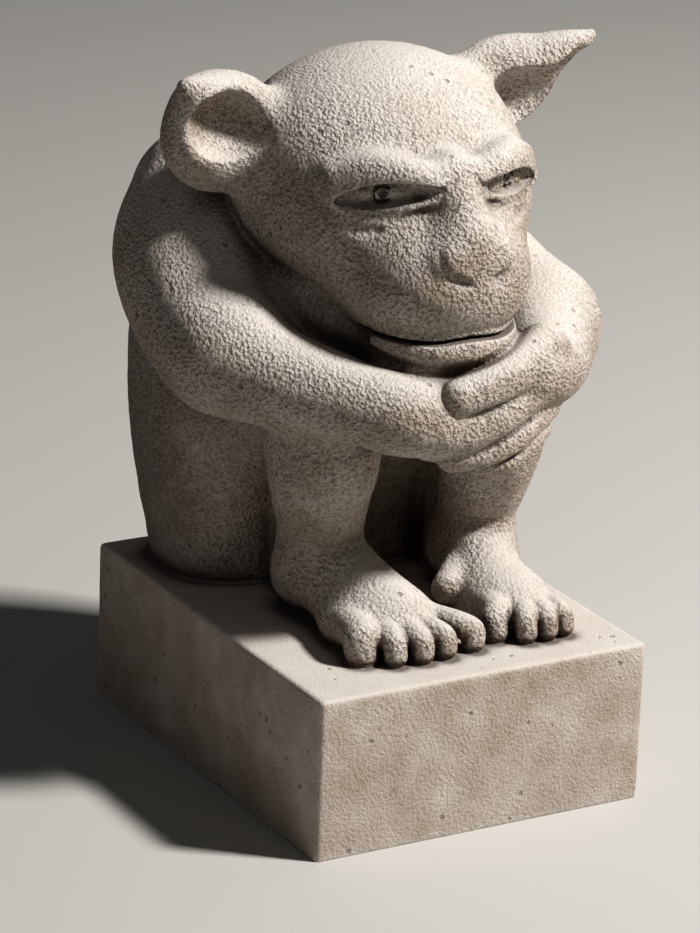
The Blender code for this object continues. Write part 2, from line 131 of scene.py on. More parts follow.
# ears: shell, tip, hollow and the hollow's run towards the tip, by side
EARS = {
    -1: (((80, 12, 236), (31, 17, 29), (0, 0, 0)), [(86, 8, 246, 18), (96, 3, 255, 12), (104, 0, 261, 6)],
         ((84.5, -6, 242), (19.5, 20, 16.5), (0, 0, 0)), [(90, -5, 245, 10), (97, -7, 252, 4)]),
    1: (((70, 12, 244), (29, 16, 24), (0, 0, 0)), [(80, 8, 249, 18), (96, 2, 259, 11.5), (111, -2, 268, 3)],
        ((76, -3, 237), (22, 21, 18.5), (0, 0, 0)), [(87, -3, 240, 14), (104, -6, 254.5, 8.5)]),
}
# trunk: half width, front and back at each height, rounded square in plan
TRUNK = [(-10, 73, 30, 112), (20, 79, 30, 111.5), (60, 89, 20, 110),
         (100, 95, 5, 108.5), (150, 94, 0, 107.5), (200, 88, 0, 105)]
TRUNK_TOP = 186
TRUNK_SQUARENESS = 3.0
UPPER_BACK = ((0, 51, 165), (93, 56, 70), (0, 0, 0))
SHOULDER_BLADE = ((36, 92, 178), (24, 14, 32), (14, -12, 0))
SPINE = [(0, 114, 40, 3), (0, 112.5, 100, 5), (0, 111, 160, 5), (0, 95, 212, 4), (0, 74, 236, 3)]
NECK = ((0, 35, 195), (58, 45, 40), (0, 0, 0))
CHEST = ((0, 0, 150), (64, 52, 44), (0, 0, 0))
UPPER_ARMS = {-1: [(60, 62, 188, 37), (78, 44, 168, 37), (86, 14, 147, 33), (88, -8, 138, 28)],
              1: [(48, 62, 174, 35), (66, 42, 152, 34), (79, 10, 136, 31), (82, -12, 130, 28)]}
FOREARMS = {-1: [(86, -12, 136, 27), (74, -34, 130, 24), (52, -60, 124.5, 20),
                 (32, -78, 119.5, 18), (18, -84, 116, 15.5)],
            1: [(82, -16, 130, 28), (66, -46, 128, 24), (50, -70, 129, 19), (36, -82, 132, 15)]}
# the two hands' backs, pressed together between chin and knees
HAND_MASS = [(-32, -74, 119, 17.5), (-2, -74, 118, 19.5), (34, -70, 121, 18)]
HAND_HEEL = [(-12, -74, 104, 11), (12, -77, 100, 12), (36, -70, 104, 12.5)]
# fingers of the right hand below, then the left hand's finger over them
FINGERS = [[(-26, -82, 113.5, 13), (-4, -87, 111.5, 12.3), (18, -88.5, 118, 10.3), (36, -82, 124, 9.3)],
           [(-6, -84, 98, 8.5), (8, -90, 98.5, 6.3), (24, -90, 104.5, 6.9), (38, -83, 109.5, 7),
            (52, -70, 111, 8.5)],
           [(8, -84, 91, 5), (22, -88, 92, 4.6), (37, -81, 97, 5.2), (50, -70, 99, 6)],
           [(46, -76, 140.5, 13), (18, -90, 134.5, 10.2), (-9, -92.5, 129, 9.3)]]
THIGH = [(40, 68, 42, 36), (46, 38, 84, 34), (46, -4, 112, 30)]
SHINS = {-1: [(46, -30, 112, 28), (46, -33, 90, 28), (41, -24, 66, 24), (35, -14, 44, 21),
              (34.5, -9, 22, 21)],
         1: [(46, -30, 112, 27), (47, -33, 90, 26.5), (50, -24, 66, 23.5), (53, -14, 44, 20),
             (53, -8, 22, 20)]}
CALVES = {-1: [(27, 20, 0, 12), (27, 18, 40, 13), (32, 12, 84, 15)],
          1: [(58, 20, 0, 13), (58, 18, 40, 15), (52, 12, 84, 17)]}
# feet: ankle x and y, ball of the foot, and each toe's tip x, tip y and radius
FEET = {-1: (-35, -12, 29, [(-48, -88, 8.6), (-35, -95, 6.2), (-21.5, -97, 6), (-8.5, -96, 5.9),
                           (8, -93.5, 6.3)]),
        1: (51, -12, 23, [(24, -88, 7), (36.5, -95, 5.8), (47.5, -96, 5.4), (57.5, -94.5, 5.2)])}
INSTEPS = {-1: [(-34, -16, 32, 17), (-26, -40, 21, 16), (-21, -62, 13, 14)],
           1: [(50, -16, 28, 16), (44, -42, 14, 13.5)]}
LEFT_GREAT_TOE = [(37, -28, 15, 11), (29, -35, 14.5, 9.5), (22, -40.5, 12.5, 8.8)]


def blend(a, b, k):
    """Union of two fields, rounded over a width k where they meet."""
    h = np.maximum(k - np.abs(a - b), 0) / k
    return np.minimum(a, b) - h * h * (k * 0.25)


def carve(a, b, k):
    """Field a with b taken out of it, the edge rounded over a width k."""
    return -blend(-a, b, k)


def ellipsoid(p, shape):
    """Distance to an ellipsoid, to first order: k0 (k0 - 1) / k1 for the scaled point."""
    centre, radii, turn = shape
    q = p - np.array(centre, np.float32)[:, None]
    if any(turn):
        q = np.array(Euler([math.radians(t) for t in turn]).to_matrix(), np.float32).T @ q
    r = np.array(radii, np.float32)[:, None]
    k0 = np.maximum(np.sqrt(((q / r) ** 2).sum(0)), 1e-3)
    k1 = np.maximum(np.sqrt(((q / r ** 2) ** 2).sum(0)), 1e-3 / max(radii))
    return k0 * (k0 - 1) / k1


def spline(stations, steps):
    """Catmull-Rom curve through the stations, radii with them."""
    s = np.array(stations, float)
    s = np.vstack([2 * s[0] - s[1], s, 2 * s[-1] - s[-2]])
    t = np.linspace(0, 1, steps, endpoint=False)[:, None]
    runs = [0.5 * (2 * b + (c - a) * t + (2 * a - 5 * b + 4 * c - d) * t ** 2
                   + (3 * b - a - 3 * c + d) * t ** 3)
            for a, b, c, d in zip(s[:-3], s[1:-2], s[2:-1], s[3:])]
    return np.vstack(runs + [s[-2:-1]])


def limb(p, stations, steps=7):
    """Distance to a round limb: the nearest of the short cones along its curve."""
    s = spline(stations, steps).astype(np.float32)
    best = None
    for a, b in zip(s[:-1], s[1:]):
        axis = (b - a)[:3, None]
        q = p - a[:3, None]
        t = np.clip((q * axis).sum(0) / max(float((axis ** 2).sum()), 1e-6), 0, 1)
        d = np.sqrt(((q - t * axis) ** 2).sum(0)) - (a[3] + t * (b[3] - a[3]))
        best = d if best is None else np.minimum(best, d)
    return best


def near(p, low, high, field, margin=26):
    """The field where p is near the box low to high, and the distance to that box elsewhere."""
    low = np.array(low, np.float32)[:, None]
    high = np.array(high, np.float32)[:, None]
    gap = np.sqrt((np.maximum(np.maximum(low - p, p - high), 0) ** 2).sum(0))
    close = gap < margin
    out = gap + np.float32(1)
    if close.any():
        out[close] = field(p[:, close])
    return out


def mirrored(p):
    return np.stack([np.abs(p[0]), p[1], p[2]])


def ring(p, centre, axis, radius, width):
    """Distance to a round wire ring about an axis."""
    q = p - np.array(centre, np.float32)[:, None]
    along = (q * np.array(axis, np.float32)[:, None]).sum(0)
    across = np.sqrt(np.maximum((q ** 2).sum(0) - along ** 2, 0))
    return np.sqrt((across - radius) ** 2 + along ** 2) - width


def mouth_slot(p, d):
    """A slot along the mouth's curve that goes MOUTH_DEPTH into the field d, thinner at its corners."""
    curve = spline([(x, 0, z, 0) for x, z in MOUTH], 8)
    height = np.interp(p[0], curve[:, 0], curve[:, 2]).astype(np.float32)
    end = MOUTH[-1][0]
    half = MOUTH_HALF * np.sqrt(np.clip(1.05 - (p[0] / end) ** 4, 0, 1)) - np.maximum(p[0] - end, 0)
    return np.maximum(np.abs(p[2] - height) - half, -d - MOUTH_DEPTH)


def face_carving(p, d):
    """Brow, eyes, nose and mouth worked into the head's field d."""
    d = blend(d, limb(p, NOSE), 10)
    d = blend(d, ellipsoid(p, NOSE_TIP), 11)
    d = blend(d, ellipsoid(p, NOSE_WING), 7)
    d = blend(d, limb(p, BROW), 12)
    d = blend(d, limb(p, UPPER_LID), 6)
    d = blend(d, limb(p, LOWER_LID), 4)
    d = carve(d, limb(p, EYE_HOLLOW), 1.2)
    d = blend(d, limb(p, EYEBALL), 0.8)
    d = carve(d, ring(p, *IRIS), 0.8)
    d = carve(d, ellipsoid(p, PUPIL), 0.8)
    for bag, k in zip(EYE_BAGS, (2, 4)):
        d = carve(d, limb(p, bag), k)
    d = carve(d, limb(p, FROWN), 2)
    d = carve(d, limb(p, NOSE_CREASE), 3.2)
    d = carve(d, limb(p, NOSTRIL), 2)
    d = blend(d, ellipsoid(p, CHIN), 6)
    d = blend(d, limb(p, LOWER_LIP), 4)
    return carve(d, mouth_slot(p, d), 1.0)


def head(p):
    m = mirrored(p)
    d = ellipsoid(m, SKULL)
    d = blend(d, ellipsoid(m, MIDFACE), 22)
    d = blend(d, ellipsoid(m, MUZZLE), 14)
    front = (m[1] < -30) & (m[2] > 130) & (m[2] < 250)
    if front.any():
        d[front] = face_carving(m[:, front], d[front])
    for side, (shell, tip, hollow, run) in EARS.items():
        e = np.stack([p[0] * side, p[1], p[2]])
        d = blend(d, near(e, (38, -14, 196), (116, 30, 275),
                          lambda q: blend(ellipsoid(q, shell), limb(q, tip), 8)), 10)
        d = carve(d, near(e, (50, -34, 212), (108, 12, 264),
                          lambda q: blend(ellipsoid(q, hollow), limb(q, run), 6)), 4)
    return d


def trunk(p):
    table = spline(TRUNK, 8)
    half, front, back = (np.interp(p[2], table[:, 0], table[:, i]).astype(np.float32) for i in (1, 2, 3))
    middle = (front + back) / 2
    deep = (back - front) / 2
    n = TRUNK_SQUARENESS
    share = (np.abs(p[0] / half) ** n + np.abs((p[1] - middle) / deep) ** n) ** (1 / n)
    d = carve((share - 1) * np.minimum(half, deep), TRUNK_TOP - p[2], 60)
    d = blend(d, ellipsoid(p, UPPER_BACK), 16)
    d = blend(d, ellipsoid(mirrored(p), SHOULDER_BLADE), 14)
    d = carve(d, limb(p, SPINE), 12)
    d = blend(d, ellipsoid(p, CHEST), 16)
    return blend(d, ellipsoid(p, NECK), 20)


def foot(p, side):
    """Heel and ball of one foot with its row of toes."""
    ankle_x, ankle_y, ball, toes = FEET[side]
    row_x = sum(t[0] for t in toes) / len(toes)
    row_y = sum(t[1] for t in toes) / len(toes)
    heel = [(ankle_x, ankle_y + 8, 15, 17), (ankle_x, ankle_y - 10, 20, 18)]
    middle = (0.5 * (ankle_x + row_x) + 0.25 * (row_x - ankle_x), 0.5 * (ankle_y + row_y) - 1, 8)
    d = blend(limb(p, heel), ellipsoid(p, (middle, (ball, 31, 18), (0, 0, 0))), 12)
    for x, y, r in toes:
        root_x = middle[0] + (x - row_x) * 0.72
        root_y = y + 26
        toe = [(root_x, root_y, 11, r * 1.15), ((root_x + x) / 2, (root_y + y) / 2, 11.5, r * 1.12),
               (x, y + r + 1.5, 9.5, r), (x, y + r, 4.5, r * 0.96)]
        d = blend(d, limb(p, toe, 3), 2)
    d = blend(d, limb(p, INSTEPS[side]), 10)
    if side > 0:
        d = blend(d, limb(p, LEFT_GREAT_TOE), 4)
    return d


def figure(p):
    """Distance to the whole figure at points p (3, n), in figure units, negative inside."""
    d = trunk(p)
    for side in (-1, 1):
        s = np.stack([p[0] * side, p[1], p[2]])
        d = blend(d, near(s, (2, -66, 0), (90, 116, 146), lambda q: limb(q, THIGH)), 12)
        d = blend(d, near(s, (12, -12, -20), (76, 44, 110), lambda q: limb(q, CALVES[side])), 8)
        d = blend(d, near(s, (10, -64, 0), (80, 20, 142), lambda q: limb(q, SHINS[side])), 5)
    for side in (-1, 1):
        s = np.stack([p[0] * side, p[1], p[2]])
        d = blend(d, near(s, (0, -102, 95), (122, 102, 228),
                          lambda q: blend(limb(q, UPPER_ARMS[side]), limb(q, FOREARMS[side]), 14)), 10)
    for side, low, high in ((-1, (-62, -96, -10), (12, 20, 40)), (1, (10, -94, -10), (80, 20, 40))):
        d = blend(d, near(p, low, high, lambda q: foot(q, side)), 6)
    d = blend(d, near(p, (-52, -96, 84), (54, -50, 142),
                      lambda q: blend(limb(q, HAND_MASS), limb(q, HAND_HEEL), 8)), 8)
    for finger, k in zip(FINGERS, (4, 1.6, 1.6, 1.6)):
        d = blend(d, near(p, (-42, -108, 80), (58, -62, 152), lambda q: limb(q, finger)), k)
    return blend(d, near(p, (-116, -108, 136), (116, 72, 278), head), 4)


def sampled(field, low, high, cell, block=8):
    """Field values on a grid; only blocks that hold the surface get every value of their own."""
    low = np.array(low, float)
    count = np.ceil((np.array(high) - low) / (cell * block)).astype(int) + 1
    corner = np.stack(np.meshgrid(*[np.arange(n) for n in count], indexing="ij"), -1).reshape(-1, 3)

    def at(index):
        return field((low + index * cell).T.astype(np.float32))

    middle = at(corner * block + block / 2)
    values = np.empty(count * block + 1, np.float32)
    values[:] = np.pad(np.kron(middle.reshape(count), np.ones((block,) * 3, np.float32)),
                       [(0, 1)] * 3, mode="edge")
    reach = block * cell
    start = corner[np.abs(middle) < reach] * block
    half = block // 2
    parts = np.stack(np.meshgrid(*[(0, half)] * 3, indexing="ij"), -1).reshape(-1, 3)
    start = (start[:, None] + parts).reshape(-1, 3)
    start = start[np.abs(at(start + half / 2)) < reach / 2 + cell]
    steps = np.stack(np.meshgrid(*[np.arange(half)] * 3, indexing="ij"), -1).reshape(-1, 3)
    for run in np.array_split(start, max(1, len(start) // 6000)):
        index = (run[:, None] + steps).reshape(-1, 3)
        values[tuple(index.T)] = at(index)
    return values, low


def settled(values):
    """Fill pockets of one point, then cell faces whose signs form a checkerboard.

    What is left is one closed skin in which no two sheets share an edge.
    """
    just_inside = -0.01
    for turn in range(3):
        walls = sum(np.roll(values < 0, way, axis).astype(np.int8) for axis in range(3) for way in (-1, 1))
        values[(values >= 0) & (walls >= 5)] = just_inside
    for turn in range(8):
        changed = 0
        for axis in range(3):
            v = np.moveaxis(values, axis, 0)
            a, b, c, d = v[:, :-1, :-1], v[:, 1:, :-1], v[:, :-1, 1:], v[:, 1:, 1:]
            first = (a < 0) & (d < 0) & (b >= 0) & (c >= 0)
            second = (b < 0) & (c < 0) & (a >= 0) & (d >= 0)
            changed += int(first.sum() + second.sum())
            b[first] = just_inside
            a[second] = just_inside
        if not changed:
            break
    return values


def net(values, low, cell):
    """Surface net of a grid: one point in each mixed cell, one quad across each mixed grid edge."""
    inside = values < 0
    n = np.array(values.shape) - 1
    total = sum(inside[i:n[0] + i, j:n[1] + j, k:n[2] + k].astype(np.int8)
                for i in (0, 1) for j in (0, 1) for k in (0, 1))
    cells = np.argwhere((total > 0) & (total < 8))
    number = np.full(n, -1, np.int32)
    number[tuple(cells.T)] = np.arange(len(cells))
    place = np.zeros((len(cells), 3))
    hits = np.zeros((len(cells), 1))
    for axis in range(3):
        others = [i for i in range(3) if i != axis]
        for u in (0, 1):
            for w in (0, 1):
                a = cells.copy()
                a[:, others[0]] += u
                a[:, others[1]] += w
                b = a.copy()
                b[:, axis] += 1
                va = values[tuple(a.T)].astype(float)
                vb = values[tuple(b.T)].astype(float)
                cut = (va < 0) != (vb < 0)
                spot = a.astype(float)
                spot[:, axis] += np.where(cut, va / np.where(cut, va - vb, 1), 0)
                place += spot * cut[:, None]
                hits += cut[:, None]
    points = low + place / hits * cell
    quads = []
    for axis in range(3):
        u, w = [i for i in range(3) if i != axis]
        first = np.moveaxis(inside, (axis, u, w), (0, 1, 2))
        edge = np.argwhere(first[:-1, 1:-1, 1:-1] != first[1:, 1:-1, 1:-1]) + (0, 1, 1)
        leaving = first[tuple(edge.T)] == (axis != 1)
        base = np.zeros_like(edge)
        base[:, axis], base[:, u], base[:, w] = edge[:, 0], edge[:, 1], edge[:, 2]
        around = []
        for du, dw in ((-1, -1), (0, -1), (0, 0), (-1, 0)):
            spot = base.copy()
            spot[:, u] += du
            spot[:, w] += dw
            around.append(number[tuple(spot.T)])
        around = np.stack(around, 1)
        quads.append(np.where(leaving[:, None], around, around[:, ::-1]))
    return points, np.vstack(quads)


def felt_slope(field, points, step):
    """The field's slope times 4 steps, from its values at the corners of a small tetrahedron."""
    return sum(a * field((points + a * step).T.astype(np.float32))[:, None] for a in SLOPE_CORNERS)


def drawn_in(field, points, cell):
    """Points moved along the field's slope to its zero surface, by half a cell at most."""
    value = field(points.T.astype(np.float32))
    step = SLOPE_STEP_IN_CELLS * cell
    slope = felt_slope(field, points, step) / (4 * step)
    size = np.maximum((slope ** 2).sum(1), 0.25)
    move = -slope * (value / size)[:, None]
    reach = np.sqrt((move ** 2).sum(1))[:, None]
    return points + move * np.minimum(1, 0.5 * cell / np.maximum(reach, 1e-9))


def uneven(p):
    """Hand-worked unevenness: a product of sines along turned axes at three sizes, from 0 to 1."""
    total = np.zeros(p.shape[1], np.float32)
    for size, share, turn in UNEVEN_WAVES:
        c, s = math.cos(turn), math.sin(turn)
        a = (p[0] * c + p[1] * s) * (2 * math.pi / size)
        b = (p[1] * c - p[0] * s + p[2] * 0.6) * (2 * math.pi / size)
        e = (p[2] * c + p[0] * 0.5 * s) * (2 * math.pi / size)
        total += share * np.sin(a + np.sin(b)) * np.sin(b + 1.7 * np.sin(e)) * np.sin(e + 0.9 * np.sin(a))
    return 0.5 + 0.5 * total


def block(p, width, depth, height, edge):
    """Distance to the plinth: a box under z = 0 shrunk by its edge radius and grown back by it."""
    x = np.abs(p[0]) - np.float32(width / 2 - edge)
    y = np.abs(p[1]) - np.float32(depth / 2 - edge)
    z = np.abs(p[2] + np.float32(height / 2 + 3)) - np.float32(height / 2 + 3 - edge)
    outer = np.sqrt(np.maximum(x, 0) ** 2 + np.maximum(y, 0) ** 2 + np.maximum(z, 0) ** 2)
    return outer + np.minimum(np.maximum(np.maximum(x, y), z), 0) - np.float32(edge)


def statue_field(sizes):
    """The whole statue's field in units above the plinth's top, worn back a little all over."""
    unit = sizes.figure_height / FIGURE_UNITS
    width, depth, height, edge = (v / unit for v in (sizes.plinth_width, sizes.plinth_depth,
                                                     sizes.plinth_height, sizes.plinth_edge))

    def field(p):
        whole = np.full(p.shape[1], 1e3, np.float32)
        over = p[2] > -6
        whole[over] = figure(p[:, over])
        whole = blend(whole, block(p, width, depth, height, edge), FOOT_FILLET)
        return np.maximum(whole + WEAR + sizes.unevenness / unit * uneven(p), -p[2] - np.float32(height))

    return field


def slope_of(field, points, step):
    """The field's slope with its length made 1."""
    slope = felt_slope(field, points, step)
    return slope / np.maximum(np.sqrt((slope ** 2).sum(1)), 1e-9)[:, None]


def sheltered(field, points, slope, reaches):
    """How far each point sits in a hollow: 1 less the field's rise over each reach, averaged.

    Reaches below zero go inwards, and then it is how far the point stands out on a crest.
    """
    share = [1 - field((points + slope * r).T.astype(np.float32)) / abs(r) * np.sign(r) for r in reaches]
    return np.clip(sum(share) / len(reaches), 0, 1)


def filled_mesh(name, points, faces):
    """Mesh of points and equal-sided faces, put in as whole arrays."""
    mesh = bpy.data.meshes.new(name)
    mesh.vertices.add(len(points))
    mesh.vertices.foreach_set("co", points.astype(np.float32).ravel())
    mesh.loops.add(faces.size)
    mesh.loops.foreach_set("vertex_index", faces.astype(np.int32).ravel())
    mesh.polygons.add(len(faces))
    mesh.polygons.foreach_set("loop_start", np.arange(0, faces.size, faces.shape[1], dtype=np.int32))
    mesh.update(calc_edges=True)
    return mesh


def placed(name, mesh):
    thing = bpy.data.objects.new(name, mesh)
    bpy.context.scene.collection.objects.link(thing)
    return thing


def thinned(mesh, triangles):
    """The mesh with its flat parts thinned until it has that many triangles."""
    rough = placed("rough_skin", mesh)
    fewer = rough.modifiers.new("fewer", "DECIMATE")
    fewer.ratio = min(1.0, triangles / (2 * len(mesh.polygons)))
    graph = bpy.context.evaluated_depsgraph_get()
    result = bpy.data.meshes.new_from_object(rough.evaluated_get(graph))
    bpy.data.objects.remove(rough, do_unlink=True)
    bpy.data.meshes.remove(mesh)
    return result


def linear(hex_colour):
    """sRGB hex to linear RGBA: c / 12.92 below 0.04045, else ((c + 0.055) / 1.055) ** 2.4."""
    parts = [int(hex_colour[i:i + 2], 16) / 255 for i in (1, 3, 5)]
    return [c / 12.92 if c <= 0.04045 else ((c + 0.055) / 1.055) ** 2.4 for c in parts] + [1.0]


def add(tree, kind, sockets=(), **settings):
    """Add a node, set its properties, then fill its sockets with values or links."""
    made = tree.nodes.new("ShaderNode" + kind)
    for name, value in settings.items():
        setattr(made, name, value)
    for name, value in dict(sockets).items():
        if isinstance(value, bpy.types.NodeSocket):
            tree.links.new(value, made.inputs[name])
        else:
            made.inputs[name].default_value = value
    return made


def ramp(tree, factor, stops):
    """Colour ramp node with the stops (position, colour)."""
    made = add(tree, "ValToRGB", {0: factor})
    band = made.color_ramp.elements
    while len(band) < len(stops):
        band.new(0.5)
    for element, (position, colour) in zip(band, stops):
        element.position = position
        element.color = colour
    return made


def mixed(tree, share, first, second):
    """Colour that goes from first to second as the share rises from 0 to 1."""
    return add(tree, "Mix", {"Factor": share, "A": first, "B": second}, data_type="RGBA").outputs["Result"]


def between(tree, value, start, end, most=1.0):
    """Smooth step of a value: 0 at start, the most at end."""
    return add(tree, "MapRange", {"Value": value, "From Min": start, "From Max": end, "To Min": 0.0,
                                  "To Max": most}, interpolation_type="SMOOTHSTEP").outputs[0]


def times(tree, first, second):
    return add(tree, "Math", {0: first, 1: second}, operation="MULTIPLY").outputs[0]


def cast_stone(look):
    """Cast stone: cement and coarse sand tamped in a mould, so it is matt, grainy and pitted.

    Lumps of grains catch the light one by one and soil stays between them.
    The hollows are darkened with the soil colour: partly soil, partly painted
    shade. Faces that look up and the worn crests are made paler: partly rain wash
    and wear, partly painted light. The plinth's faces came smoother out of their
    mould than the figure's.
    """
    material = bpy.data.materials.new("cast_stone")
    material.use_nodes = True
    tree = material.node_tree
    shader = tree.nodes["Principled BSDF"]
    place = add(tree, "TexCoord").outputs["Object"]
    hollow = add(tree, "Attribute", attribute_name="hollow").outputs["Fac"]
    crest = add(tree, "Attribute", attribute_name="crest").outputs["Fac"]
    coarse = add(tree, "Attribute", attribute_name="coarse").outputs["Fac"]
    up = add(tree, "SeparateXYZ", {0: add(tree, "NewGeometry").outputs["Normal"]}).outputs[2]
    patches = add(tree, "TexNoise", {"Vector": place, "Scale": 1 / look.patch_size, "Detail": 5.0,
                                     "Roughness": 0.6}).outputs["Fac"]
    cobbles = add(tree, "TexVoronoi", {"Vector": place, "Scale": 0.9 / look.grain_size, "Smoothness": 0.6,
                                       "Randomness": 1.0}, feature="SMOOTH_F1").outputs["Distance"]
    lumps = add(tree, "TexNoise", {"Vector": place, "Scale": 1 / look.grain_size, "Detail": 1.5,
                                   "Roughness": 0.5}).outputs["Fac"]
    lumps = add(tree, "Math", {0: cobbles, 1: -0.5, 2: lumps}, operation="MULTIPLY_ADD").outputs[0]
    lumps = add(tree, "Math", {0: lumps, 1: 0.22}, operation="ADD").outputs[0]
    grit = add(tree, "TexNoise", {"Vector": place, "Scale": 2.6 / look.grain_size, "Detail": 2.0,
                                  "Roughness": 0.6}).outputs["Fac"]
    holes = add(tree, "TexVoronoi", {"Vector": place, "Scale": 1 / look.pit_spacing,
                                     "Randomness": 1.0}).outputs["Distance"]
    # rain has worn the tops smoother
    coarse = times(tree, coarse, between(tree, up, 1.25, 0.3))
    # pits keep to some of the patches, so they don't look evenly spread
    pits = times(tree, between(tree, holes, 0.17, 0.09), between(tree, patches, 0.49, 0.56))
    stone = ramp(tree, patches, [(0.24, look.stone_dark), (0.5, look.stone_middle),
                                 (0.92, look.pale_stone_and_painted_light)]).outputs[0]
    # painted light: faces that look up are made paler, partly rain wash and partly the lit look of a top
    stone = mixed(tree, between(tree, up, 0.1, 0.95, 0.7), stone, look.pale_stone_and_painted_light)
    # painted light on the crests that stand out, together with their wear
    stone = mixed(tree, between(tree, crest, 0.2, 0.7, 0.4), stone, look.pale_stone_and_painted_light)
    stone = mixed(tree, times(tree, between(tree, lumps, 0.5, 0.3, 0.35), coarse), stone, look.soil_and_painted_shade)
    stone = mixed(tree, between(tree, grit, 0.46, 0.3, 0.2), stone, look.soil_and_painted_shade)
    # painted shade: hollows darkened towards the soil colour, partly soil and partly the shade that falls
    # in them
    stone = mixed(tree, between(tree, hollow, 0.15, 0.75, 0.8), stone, look.soil_and_painted_shade)
    stone = mixed(tree, times(tree, pits, 0.4), stone, look.soil_and_painted_shade)
    raised = add(tree, "Bump", {"Height": times(tree, lumps, coarse), "Strength": 1.0,
                                "Distance": look.grain_depth * 5})
    raised = add(tree, "Bump", {"Height": grit, "Strength": 1.0, "Distance": look.grain_depth,
                                "Normal": raised.outputs[0]})
    raised = add(tree, "Bump", {"Height": pits, "Strength": 1.0, "Distance": look.grain_depth,
                                "Normal": raised.outputs[0]}, invert=True)
    tree.links.new(stone, shader.inputs["Base Color"])
    tree.links.new(raised.outputs[0], shader.inputs["Normal"])
    shader.inputs["Roughness"].default_value = 0.93
    shader.inputs["Specular IOR Level"].default_value = 0.25
    return material


def matt_paint(colour):
    """Matt wall paint on a smooth board: an even pale ground with the faintest roller texture."""
    material = bpy.data.materials.new("matt_paint")
    material.use_nodes = True
    tree = material.node_tree
    shader = tree.nodes["Principled BSDF"]
    place = add(tree, "TexCoord").outputs["Object"]
    rolled = add(tree, "TexNoise", {"Vector": place, "Scale": 220.0, "Detail": 3.0})
    raised = add(tree, "Bump", {"Height": rolled.outputs["Fac"], "Strength": 0.2, "Distance": 0.0002})
    tree.links.new(raised.outputs[0], shader.inputs["Normal"])
    shader.inputs["Base Color"].default_value = colour
    shader.inputs["Roughness"].default_value = 0.95
    return material


def softbox(name, towards, side, power, colour):
    """Square lamp in that direction from the statue's middle, turned to face it."""
    data = bpy.data.lights.new(name, "AREA")
    data.shape = "SQUARE"
    data.size = side
    data.energy = power
    data.color = colour[:3]
    away = np.array(towards, float) / np.linalg.norm(towards)
    lamp = bpy.data.objects.new(name, data)
    lamp.location = np.array(LAMP_AIM) + away * LAMP_DISTANCE
    lamp.rotation_euler = Matrix(turned_to(-away)).to_euler()
    bpy.context.scene.collection.objects.link(lamp)


def turned_to(forward, roll=0.0):
    """Rows of the turn that points -Z along forward with +Y up, rolled about forward."""
    right = np.cross(forward, (0, 0, 1))
    right = right / np.linalg.norm(right)
    up = np.cross(right, forward)
    c, s = math.cos(roll), math.sin(roll)
    return np.stack([c * right + s * up, c * up - s * right, -forward], 1)


class StatueSettings(bpy.types.PropertyGroup):
    plinth_width: FloatProperty(name="Plinth Width", description="Across the front",
                                default=0.1775, min=0.05, subtype="DISTANCE")
    plinth_depth: FloatProperty(name="Plinth Depth", description="Front to back",
                                default=0.229, min=0.05, subtype="DISTANCE")
    plinth_height: FloatProperty(name="Plinth Height", description="Floor to the figure's feet",
                                 default=0.080, min=0.01, subtype="DISTANCE")
    plinth_edge: FloatProperty(name="Plinth Edge", description="Radius of the block's worn edges",
                               default=0.0028, min=0.0005, subtype="DISTANCE")
    figure_height: FloatProperty(name="Figure Height", description="Plinth to the top of the ear",
                                 default=0.271, min=0.05, subtype="DISTANCE")
    unevenness: FloatProperty(name="Unevenness", description="Depth of the hand-worked hollows",
                              default=0.0004, min=0.0, subtype="DISTANCE")
    cell: FloatProperty(name="Cell", description="Side of a cell of the grid that the skin is drawn on",
                        default=0.00105, min=0.0005, subtype="DISTANCE")
    triangles: IntProperty(name="Triangles", description="Most triangles in the finished skin",
                           default=190000, min=1000, max=199000)


class StoneSettings(bpy.types.PropertyGroup):
    # pale cement, also painted as light on upward faces and on crests
    pale_stone_and_painted_light: FloatVectorProperty(name="Light Stone", description="Worn, paler cement", size=4,
                                     default=linear("#DAD4CE"), subtype="COLOR", min=0, max=1)
    stone_middle: FloatVectorProperty(name="Middle Stone", description="The cast body", size=4,
                                      default=linear("#BAADA1"), subtype="COLOR", min=0, max=1)
    stone_dark: FloatVectorProperty(name="Dark Stone", description="Damp and weathered patches", size=4,
                                    default=linear("#A3927F"), subtype="COLOR", min=0, max=1)
    # soil colour, also used as painted shade in the hollows
    soil_and_painted_shade: FloatVectorProperty(name="Soil", description="Dirt between grains and in hollows", size=4,
                              default=linear("#44342A"), subtype="COLOR", min=0, max=1)
    patch_size: FloatProperty(name="Patch Size", description="Size of the weathered patches",
                              default=0.028, min=0.002, subtype="DISTANCE")
    grain_size: FloatProperty(name="Grain Size", description="Width of a lump of sand grains",
                              default=0.0017, min=0.0003, subtype="DISTANCE")
    grain_depth: FloatProperty(name="Grain Depth", description="How far grains stand out",
                               default=0.00055, min=0.0, subtype="DISTANCE")
    pit_spacing: FloatProperty(name="Pit Spacing", description="Space between casting pits",
                               default=0.0100, min=0.001, subtype="DISTANCE")


class StageSettings(bpy.types.PropertyGroup):
    floor_size: FloatProperty(name="Floor Size", description="Side of the square floor",
                              default=14.0, min=1.0, subtype="DISTANCE")
    floor_colour: FloatVectorProperty(name="Floor", description="Pale ground", size=4,
                                      default=linear("#BFBDB9"), subtype="COLOR", min=0, max=1)
    key_power: FloatProperty(name="Key Light", description="Power of the main softbox",
                             default=95.0, min=0.0, subtype="POWER")
    fill_power: FloatProperty(name="Fill Light", description="Power of the wide fill",
                              default=1.5, min=0.0, subtype="POWER")
    sky: FloatProperty(name="Room Light", description="Strength of the even light from all round",
                       default=0.05, min=0.0)


